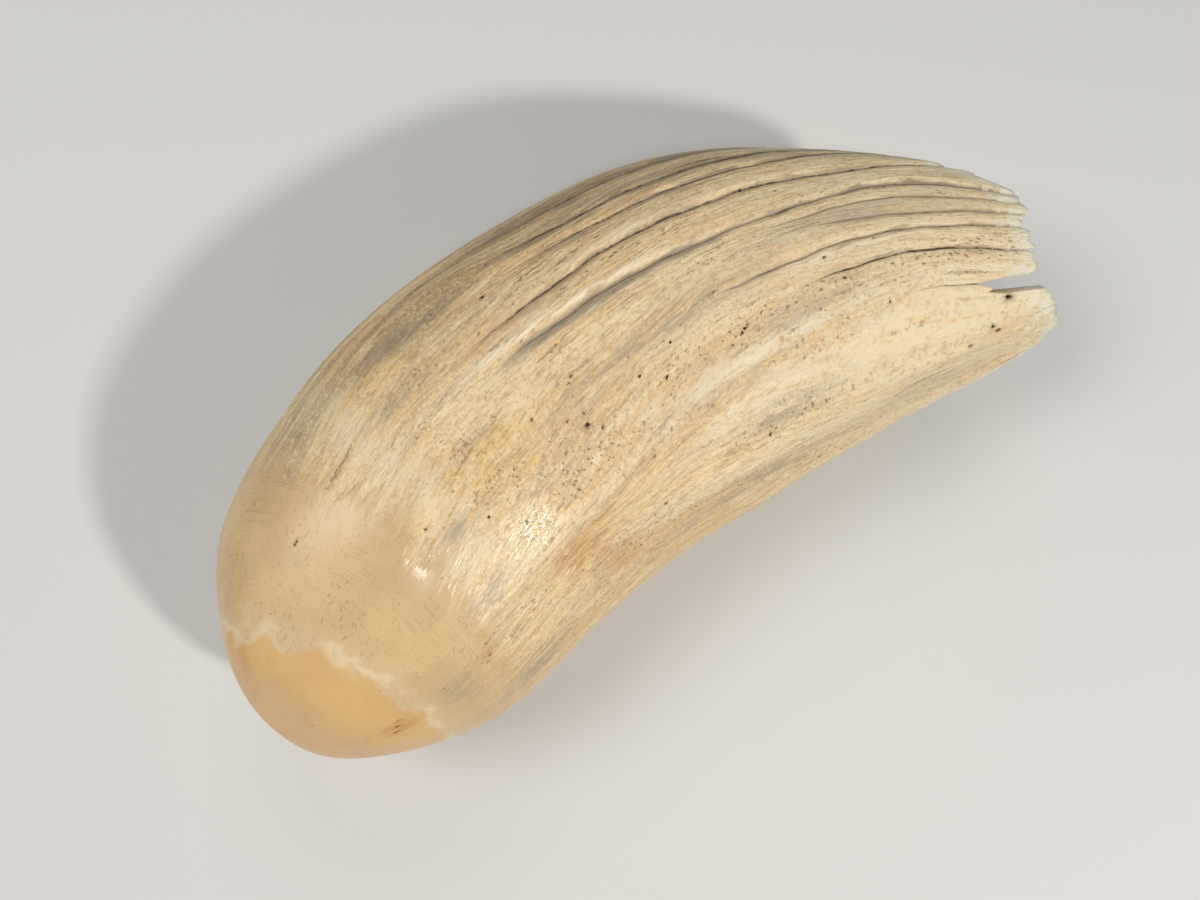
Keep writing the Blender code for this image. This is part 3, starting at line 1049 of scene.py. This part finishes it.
@dataclass
class FineRelief:
    """Ripples and ribs along the grain, made by a geometry node tree with named inputs."""

    inputs: dict[str, float] = field(
        default_factory=lambda: {
            "Rib Height": 0.16,
            "Rib Scale": 0.55,
            "Ripple Height": 0.30,
            "Ripple Scale": 0.16,
            "Stretch": 11.0,
            "Seed": 4.0,
        }
    )
    middle: float = 0.55

    def tree(self) -> bpy.types.NodeTree:
        """Builds the tree.

        Returns:
            The tree.
        """
        tree = bpy.data.node_groups.new("ribs along the grain", "GeometryNodeTree")
        face = tree.interface
        face.new_socket("Geometry", in_out="INPUT", socket_type="NodeSocketGeometry")
        for label in self.inputs:
            face.new_socket(label, in_out="INPUT", socket_type="NodeSocketFloat")
        face.new_socket("Material", in_out="INPUT", socket_type="NodeSocketMaterial")
        face.new_socket("Geometry", in_out="OUTPUT", socket_type="NodeSocketGeometry")
        wiring = Wiring(tree)
        given = wiring.add("NodeGroupInput").outputs
        grain = wiring.add("GeometryNodeInputNamedAttribute", {"Name": "grain"}, data_type="FLOAT_VECTOR")
        amount = wiring.add("GeometryNodeInputNamedAttribute", {"Name": "relief"}, data_type="FLOAT")
        along = wiring.maths("DIVIDE", 1.0, given["Stretch"])
        squeeze = wiring.add("ShaderNodeCombineXYZ", {0: 1.0, 1: 1.0, 2: along})
        place = wiring.vector("MULTIPLY", grain.outputs[0], squeeze.outputs[0])
        total: Value = 0.0
        for label in ("Rib", "Ripple"):
            inputs = {"Vector": place, "W": given["Seed"], "Scale": given[label + " Scale"], "Detail": 2.0}
            noise = wiring.add("ShaderNodeTexNoise", inputs, noise_dimensions="4D").outputs[0]
            wave = wiring.times(wiring.less(noise, self.middle), given[label + " Height"])
            total = wiring.plus(total, wave)
        total = wiring.times(total, wiring.times(amount.outputs[0], MM))
        inputs = {0: wiring.add("GeometryNodeInputNormal").outputs[0], "Scale": total}
        offset = wiring.add("ShaderNodeVectorMath", inputs, operation="SCALE").outputs[0]
        moved = wiring.add("GeometryNodeSetPosition", {"Geometry": given["Geometry"], "Offset": offset})
        real = wiring.add("GeometryNodeRealizeInstances", {0: moved.outputs[0]})
        inputs = {"Geometry": real.outputs[0], "Material": given["Material"]}
        dressed = wiring.add("GeometryNodeSetMaterial", inputs)
        wiring.feed(wiring.add("NodeGroupOutput").inputs[0], dressed.outputs[0])
        return tree

    def apply(self, piece: bpy.types.Object, material: bpy.types.Material) -> None:
        """Carves the relief into a piece and leaves it a plain mesh, none of it below the floor.

        Args:
            piece: The piece, with its grain and relief fields.
            material: The material that it gets.
        """
        modifier = piece.modifiers.new("ribs", "NODES")
        modifier.node_group = self.tree()
        values = self.inputs | {"Material": material}
        for item in modifier.node_group.interface.items_tree:
            if item.in_out == "INPUT" and item.name in values:
                modifier[item.identifier] = values[item.name]
        graph = bpy.context.evaluated_depsgraph_get()
        graph.update()
        carved = piece.evaluated_get(graph)
        mesh = bpy.data.meshes.new_from_object(carved, preserve_all_data_layers=True, depsgraph=graph)
        piece.modifiers.remove(modifier)
        piece.data = mesh
        for vertex in mesh.vertices:
            vertex.co.z = max(vertex.co.z, 0.0)


@dataclass
class ToothSkin:
    """The tooth's whole surface, folded in at the rim and down into the pulp cavity."""

    form: ToothForm = field(default_factory=ToothForm)
    columns: int = 440
    fewest_columns: int = 10
    outer_rows: int = 196
    crown_rows: int = 36
    crown_reach: float = 0.15
    lip_rows: int = 3
    inner_rows: int = 26
    lip_shade: float = 0.5
    mouth_shade: float = 0.6
    mouth_reach: float = 0.2
    crowding: float = 0.75
    middle_station: float = 0.55
    wander_reach: float = 0.28
    wander_waves: tuple[tuple[float, float], ...] = ((1.0, 38.0), (0.6, 83.0), (0.4, 170.0))
    wander_start: tuple[float, float] = (0.3, 0.5)
    ridge_crown: float = 0.10
    valley_width: float = 0.55
    valley_share: float = 0.16
    crack_width: float = 0.10
    slit_least: float = 0.3
    cut_share: float = 0.46
    ledge_share: float = 0.26
    ledge_reach: float = 2.2
    lit_ridge_height: float = 0.22
    fit_start: float = 0.6
    rim_guess: float = 0.95
    rim_passes: int = 3
    rim_notch: float = 0.006
    notch_width: float = 0.45
    grain_radius: float = 31.0
    slant: float = 5.0
    slant_end: float = 0.62
    low_side: tuple[float, float] = (94.0, 150.0)
    low_fade: float = 0.45
    far_side: tuple[float, float] = (235.0, 175.0)
    chip_size: float = 0.0028
    chip_count: int = 180
    core_edge: tuple[float, ...] = (0.046, 0.056, 0.080, 0.083, 0.066, 0.056, 0.048, 0.044, 0.046)
    dent_reach: float = 1.1
    pit_share: float = 0.82
    relief_start: tuple[float, float] = (-2.0, 22.0)
    relief_full: tuple[float, float] = (0.3, 0.7)
    least_relief: float = 0.35
    flank_angles: tuple[float, float] = (80.0, 32.0)
    flank_floor: float = -0.5
    root_stations: tuple[float, float] = (0.48, 0.92)
    seed: int = 11

    def __post_init__(self) -> None:
        """Shares the columns out between the grooves."""
        draw = np.random.default_rng(self.seed)
        self.chips = draw.uniform(-1.0, 1.0, self.chip_count)
        self.wander = draw.uniform(0.0, 2.0 * math.pi, (len(GROOVES), len(self.wander_waves)))
        middle = [float(self.course(index, self.middle_station)) for index in range(len(GROOVES) + 1)]
        widths = np.diff(middle)
        spare = self.columns - self.fewest_columns * len(GROOVES)
        counts = self.fewest_columns + np.floor(spare * widths / widths.sum()).astype(int)
        counts[int(np.argmax(widths))] += self.columns - counts.sum()
        self.gap = np.repeat(np.arange(len(GROOVES)), counts)
        even = np.concatenate([np.arange(count) / count for count in counts])
        self.share = even - self.crowding * np.sin(2.0 * math.pi * even) / (2.0 * math.pi)
        self.home = np.array(middle)[self.gap] + widths[self.gap] * self.share

    def course(self, index: int, station: Array) -> Array:
        """Gives a groove's angle with its small wander.

        Args:
            index: The groove's number; one past the last is the first again.
            station: Stations.

        Returns:
            Angles in degrees.
        """
        turn, index = divmod(index, len(GROOVES))
        base = self.form.groove_angle(GROOVES[index], station) + 360.0 * turn
        station = np.asarray(station, float)
        waves = zip(self.wander_waves, self.wander[index])
        wave = sum(size * np.sin(pace * station + phase) for (size, pace), phase in waves)
        return base + self.wander_reach * wave * smooth_step(*self.wander_start, station)

    def fields(self, station: Array) -> dict[str, Array]:
        """Works out angles, groove distances and inset for each column.

        Args:
            station: Stations, one row of columns for each mesh row.

        Returns:
            Arrays by name, each shaped as station.
        """
        names = ("angle", "inset", "groove", "cut", "crack", "shade", "lee")
        layer = {name: np.zeros_like(station) for name in names}
        for index, left_groove in enumerate(GROOVES):
            here = self.gap == index
            place, share = station[:, here], self.share[here][None, :]
            near, far = self.course(index, place), self.course(index + 1, place)
            turn = near + (far - near) * share
            reach = (far - near) * self.form.millimetres_per_degree(place, turn)
            left, right = share * reach, (1.0 - share) * reach
            right_groove = GROOVES[(index + 1) % len(GROOVES)]
            depth_left = self.form.groove_depth(left_groove, place)
            depth_right = self.form.groove_depth(right_groove, place)
            ridge = self.ridge_crown * 0.5 * (depth_left + depth_right) * (1.0 - (2.0 * share - 1.0) ** 4)
            ledge = self.ledge_share * depth_left * np.exp(-left / self.ledge_reach)
            near_cut = self.carve(left, depth_left, left_groove.crack)
            far_cut = self.carve(right, depth_right, right_groove.crack)
            closer = left <= right
            layer["angle"][:, here] = turn
            layer["inset"][:, here] = near_cut + far_cut + ledge - ridge
            layer["groove"][:, here] = np.where(closer, left, right)
            layer["cut"][:, here] = np.where(closer, depth_left, depth_right)
            layer["crack"][:, here] = np.where(closer, left_groove.crack, right_groove.crack)
            layer["shade"][:, here] = np.where(closer, left_groove.shade, right_groove.shade)
            layer["lee"][:, here] = closer
        return layer

    def carve(self, distance: Array, depth: Array, crack: float) -> Array:
        """Gives a groove's section: an open valley with a crack in its bottom.

        Args:
            distance: Distance from the groove's bottom, in millimetres.
            depth: The groove's depth there.
            crack: How sharp the crack is, from 0 to 1.

        Returns:
            How far the skin is cut in.
        """
        valley = self.valley_share * np.exp(-(distance / self.valley_width) ** 2)
        slit = (self.cut_share - self.valley_share) * (self.slit_least + (1.0 - self.slit_least) * crack)
        return depth * (valley + slit * np.exp(-(distance / self.crack_width) ** 2))

    def rim_stations(self) -> tuple[Array, Array]:
        """Finds where each column meets the broken, chipped rim.

        Returns:
            Stations of the rim, with the split and without it.
        """
        form, count = self.form, self.chip_count
        angles, stations = zip(*form.rim)
        rim = whole = np.full(self.columns, self.rim_guess)
        for _ in range(self.rim_passes):
            layer = self.fields(rim[None, :])
            turn = layer["angle"][0]
            notch = (layer["crack"] * np.exp(-(layer["groove"] / self.notch_width) ** 2))[0]
            spot = np.mod(turn, 360.0) / 360.0 * count
            chip = np.interp(spot, np.arange(count), self.chips, period=count)
            whole = np.interp(turn, angles, stations, period=360.0)
            whole = whole - self.rim_notch * notch + self.chip_size * chip
            away = np.abs(turn_between(turn, self.course(SPLIT_GROOVE, whole))) / form.split_half_angle
            split = form.split_apex + form.split_reach * away ** form.split_power
            rim = np.where(away < 1.0, np.minimum(whole, split), whole)
        return rim, whole

    def nominal_rows(self) -> Array:
        """Gives the outer rows' stations, closer together over the crown."""
        crown = np.arange(1, self.crown_rows + 1) / self.crown_rows
        crown = self.crown_reach * (1.0 - np.cos(0.5 * math.pi * crown))
        body = np.linspace(self.crown_reach, 1.0, self.outer_rows - self.crown_rows + 1)[1:]
        return np.concatenate([crown, body])

    def dents(self, station: Array, angle: Array) -> Array:
        """Gives how far the named pits dent the skin, in millimetres."""
        total = np.zeros_like(station)
        scale = self.form.millimetres_per_degree(station, angle)
        for pit in PITS:
            along = (station - pit.station) * self.form.length
            across = turn_between(angle, pit.angle) * scale
            total += pit.depth * np.exp(-(along ** 2 + across ** 2) / (self.dent_reach * pit.radius) ** 2)
        return total

    def patches(self, kind: MarkKind, station: Array, angle: Array) -> Array:
        """Sums the soft patches of one kind.

        Args:
            kind: Which patches.
            station: Stations.
            angle: Angles in degrees.

        Returns:
            Strengths from 0 to about 1.
        """
        total = np.zeros_like(station)
        scale = self.form.millimetres_per_degree(station, angle)
        for mark in MARKS[kind]:
            along = (station - mark.station) * self.form.length / mark.along
            middle = mark.angle + mark.lean * (station - mark.station)
            across = turn_between(angle, middle) * scale / mark.across
            total += mark.strength * np.exp(-(along ** 2) - across ** 2)
        return total

    def outer(self, rim: Array, whole: Array) -> tuple[Array, dict[str, Array]]:
        """Builds the outer rows.

        Args:
            rim: Each column's rim station.
            whole: The same as if the root weren't split.

        Returns:
            Points in millimetres and the skin's fields.
        """
        nominal = self.nominal_rows()[:, None]
        station = nominal * (1.0 - (1.0 - rim[None, :]) * smooth_step(self.fit_start, 1.0, nominal))
        layer = self.fields(station)
        angle, inset = layer.pop("angle"), layer.pop("inset")
        for kind in MarkKind:
            layer[kind.value] = self.patches(kind, station, angle)
        # The ridges with painted light are also raised a little.
        inset = inset + self.dents(station, angle) - self.lit_ridge_height * layer[MarkKind.BRIGHT.value]
        points = self.form.skin(station, angle, inset)
        edge = curve_through(self.core_edge, np.mod(angle, 360.0) / 360.0)
        layer["core"] = (edge - station) * self.form.length
        layer["crown"] = (self.form.shoulder(angle) - station) * self.form.length
        layer["rim"] = (whole[None, :] - station) * self.form.length
        layer["inside"] = np.zeros_like(station)
        rise = (1.0 - self.least_relief) * smooth_step(*self.relief_full, station)
        layer["relief"] = smooth_step(*self.relief_start, -layer["crown"]) * (self.least_relief + rise)
        home = np.broadcast_to(self.home[None, :], station.shape)
        layer["grain"] = self.grain(home, station, False)
        layer["slant"] = self.grain(home, station, True)
        upper = np.sin(np.radians(angle)) > self.flank_floor
        layer["flank"] = smooth_step(*self.flank_angles, np.abs(turn_between(angle, 0.0))) * upper
        layer["root"] = smooth_step(*self.root_stations, station)
        return points, layer

    def grain(self, home: Array, station: Array, slanted: bool) -> Array:
        """Rolls the skin up as a plain cylinder, for patterns along the grain.

        Args:
            home: Each point's angle halfway along the tooth.
            station: Its station.
            slanted: Whether the fine fibres' slant across the grooves is added.

        Returns:
            Places in millimetres, with the third one along the tooth.
        """
        turn = np.radians(home)
        if slanted:
            reach = np.minimum(station, self.slant_end) * self.form.length / self.grain_radius
            low = smooth_step(*self.low_side, home) * smooth_step(*self.far_side, home)
            turn = turn + math.tan(math.radians(self.slant)) * (1.0 - self.low_fade * low) * reach
        along = station * self.form.length
        return np.stack([self.grain_radius * np.cos(turn), self.grain_radius * np.sin(turn), along], -1)

    def inner(self, rim: Array, outer_rim: Array) -> tuple[Array, Array]:
        """Builds the lip across the broken wall and the cavity's rows.

        Args:
            rim: Each column's rim station.
            outer_rim: Points of the outermost rim row.

        Returns:
            Points in millimetres and how far inside each row is, 0 to 1.
        """
        angle = self.fields(rim[None, :])["angle"]
        shares = np.arange(self.inner_rows)[:, None] / self.inner_rows
        hollow = self.form.cavity(np.broadcast_to(rim, (self.inner_rows, len(rim))), angle, shares)
        steps = np.arange(1, self.lip_rows + 1)[:, None, None] / (self.lip_rows + 1)
        lip = outer_rim[None] + (hollow[:1] - outer_rim[None]) * steps
        deeper = (1.0 - self.mouth_shade) * smooth_step(0.0, self.mouth_reach, shares[:, 0])
        inside = np.concatenate([steps[:, 0, 0] * self.lip_shade, self.mouth_shade + deeper])
        return np.concatenate([lip, hollow]), inside

    def faces(self, rows: int) -> list[tuple[int, ...]]:
        """Lists the faces of rows between two poles.

        Args:
            rows: How many rows lie between the poles.

        Returns:
            Vertex numbers of each face; pole vertices come first and last.
        """
        count = self.columns
        last = 1 + (rows - 1) * count
        result: list[tuple[int, ...]] = []
        for column in range(count):
            beside = (column + 1) % count
            result.append((0, 1 + column, 1 + beside))
            result.append((last + count, last + beside, last + column))
        for here in range(1, last, count):
            below = here + count
            for column in range(count):
                beside = (column + 1) % count
                result.append((here + column, below + column, below + beside, here + beside))
        return result

    def build(self) -> bpy.types.Object:
        """Builds the skin with its fields.

        Returns:
            The object, at the origin.
        """
        rim, whole = self.rim_stations()
        outer, layer = self.outer(rim, whole)
        inner, inside = self.inner(rim, outer[-1])
        tip = self.form.skin(np.zeros(1), np.zeros(1), np.zeros(1))
        end = self.form.centre(np.array([self.form.cavity_end]))[0]
        points = np.concatenate([tip, outer.reshape(-1, 3), inner.reshape(-1, 3), end])
        mesh = bpy.data.meshes.new("tooth_skin")
        mesh.from_pydata(self.form.settle(points).tolist(), [], self.faces(len(outer) + len(inner)))
        for label, values in layer.items():
            tail = np.broadcast_to(values[-1], (len(inner), *values[-1].shape))
            if label == "inside":
                tail = np.broadcast_to(inside[:, None], tail.shape)
            if label in ("relief", "cut", "flank"):
                tail = np.zeros(tail.shape)
            rows = np.concatenate([values, tail])
            flat = rows.reshape(-1, *values.shape[2:])
            self.store(mesh, label, np.concatenate([values[:1, 0], flat, tail[-1:, 0]]))
        mesh.validate()
        mesh.shade_smooth()
        piece = bpy.data.objects.new("tooth_skin", mesh)
        bpy.context.scene.collection.objects.link(piece)
        return piece

    @staticmethod
    def store(mesh: bpy.types.Mesh, label: str, values: Array) -> None:
        """Stores one field, numbers or vectors, on the mesh's vertices."""
        kind, part = ("FLOAT_VECTOR", "vector") if values.ndim == 2 else ("FLOAT", "value")
        mesh.attributes.new(label, kind, "POINT").data.foreach_set(part, values.ravel())

    def pit_places(self) -> Array:
        """Finds the named pits in the slanted grain's coordinates.

        Returns:
            One row for each pit: its place and its radius, in millimetres.
        """
        rows = []
        for pit in PITS:
            angle = self.fields(np.full((1, self.columns), pit.station))["angle"][0]
            home = np.interp(pit.angle, angle, self.home, period=360.0)
            place = self.grain(np.array([home]), np.array([pit.station]), True)[0]
            rows.append([*place, pit.radius * self.pit_share])
        return np.array(rows)


@dataclass(frozen=True)
class SoftBox:
    """A soft light, placed by compass angle, elevation and distance."""

    name: str
    azimuth: float
    elevation: float
    distance: float
    size: float
    power: float
    tint: tuple[float, float, float] = (1.0, 1.0, 1.0)


@dataclass
class Studio:
    """The pale floor, the lights and the camera."""

    floor_size: float = 6.0
    floor_tone: Colour = paint(226, 224, 220)
    floor_roughness: float = 0.85
    world_tone: Colour = paint(214, 218, 224)
    world_strength: float = 0.26
    eye: tuple[float, float, float] = (-32.2, -36.4, 207.2)
    turn: tuple[float, float, float] = (11.93, -2.17, -30.59)
    focal_pixels: float = 1000.0
    frame_pixels: float = 1200.0
    sensor: float = 36.0
    nearest: float = 0.01
    lights: tuple[SoftBox, ...] = (
        SoftBox("left_box", 152.0, 54.0, 0.75, 0.36, 1.8, (1.0, 0.98, 0.96)),
        SoftBox("front_box", -70.5, 42.0, 0.75, 0.06, 2.6, (1.0, 0.98, 0.95)),
        SoftBox("back_box", 62.0, 52.0, 0.80, 0.40, 0.65, (1.0, 0.99, 0.97)),
        SoftBox("crown_box", -129.0, 64.0, 0.80, 0.05, 0.5),
    )

    def build(self) -> None:
        """Builds the floor, the lights, the world and the camera."""
        self.floor()
        for box in self.lights:
            self.light(box)
        self.world()
        self.camera()

    def floor(self) -> None:
        """Lays the plain pale floor."""
        half = self.floor_size / 2.0
        mesh = bpy.data.meshes.new("floor")
        corners = [(-half, -half, 0.0), (half, -half, 0.0), (half, half, 0.0), (-half, half, 0.0)]
        mesh.from_pydata(corners, [], [(0, 1, 2, 3)])
        floor = bpy.data.objects.new("floor", mesh)
        bpy.context.scene.collection.objects.link(floor)
        material = bpy.data.materials.new("pale_floor")
        material.use_nodes = True
        surface = material.node_tree.nodes["Principled BSDF"].inputs
        surface["Base Color"].default_value = self.floor_tone
        surface["Roughness"].default_value = self.floor_roughness
        mesh.materials.append(material)

    def light(self, box: SoftBox) -> None:
        """Hangs one soft light, aimed at the tooth.

        Args:
            box: The light.
        """
        turn, rise = math.radians(box.azimuth), math.radians(box.elevation)
        away = np.array([math.cos(turn) * math.cos(rise), math.sin(turn) * math.cos(rise), math.sin(rise)])
        lamp = bpy.data.lights.new(box.name, "AREA")
        lamp.shape = "DISK"
        lamp.size = box.size
        lamp.energy = box.power
        lamp.color = box.tint
        item = bpy.data.objects.new(box.name, lamp)
        item.location = away * box.distance
        item.rotation_euler = (math.pi / 2 - rise, 0.0, turn + math.pi / 2)
        bpy.context.scene.collection.objects.link(item)

    def world(self) -> None:
        """Sets the even light of the room."""
        world = bpy.data.worlds.new("room")
        world.use_nodes = True
        background = world.node_tree.nodes["Background"].inputs
        background["Color"].default_value = self.world_tone
        background["Strength"].default_value = self.world_strength
        bpy.context.scene.world = world
        bpy.context.scene.view_settings.view_transform = "Standard"

    def camera(self) -> None:
        """Places the camera that looks down on the tooth."""
        data = bpy.data.cameras.new("camera")
        data.sensor_width = self.sensor
        data.lens = self.sensor * self.focal_pixels / self.frame_pixels
        data.clip_start = self.nearest
        item = bpy.data.objects.new("camera", data)
        item.location = [value * MM for value in self.eye]
        item.rotation_euler = [math.radians(value) for value in self.turn]
        bpy.context.scene.collection.objects.link(item)
        bpy.context.scene.camera = item


def main() -> None:
    """Builds the tooth's skin and its studio, in order."""
    logging.basicConfig(level=logging.INFO, format="%(name)s: %(message)s")
    skin = ToothSkin()
    piece = skin.build()
    FineRelief().apply(piece, IvoryFinish(skin.pit_places()).material)
    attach(piece, "root")
    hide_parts("tooth")
    LOG.info("tooth skin: %d faces", len(piece.data.polygons))
    Studio().build()
    LOG.info("studio: floor, lights and camera")


if __name__ == "__main__":
    main()
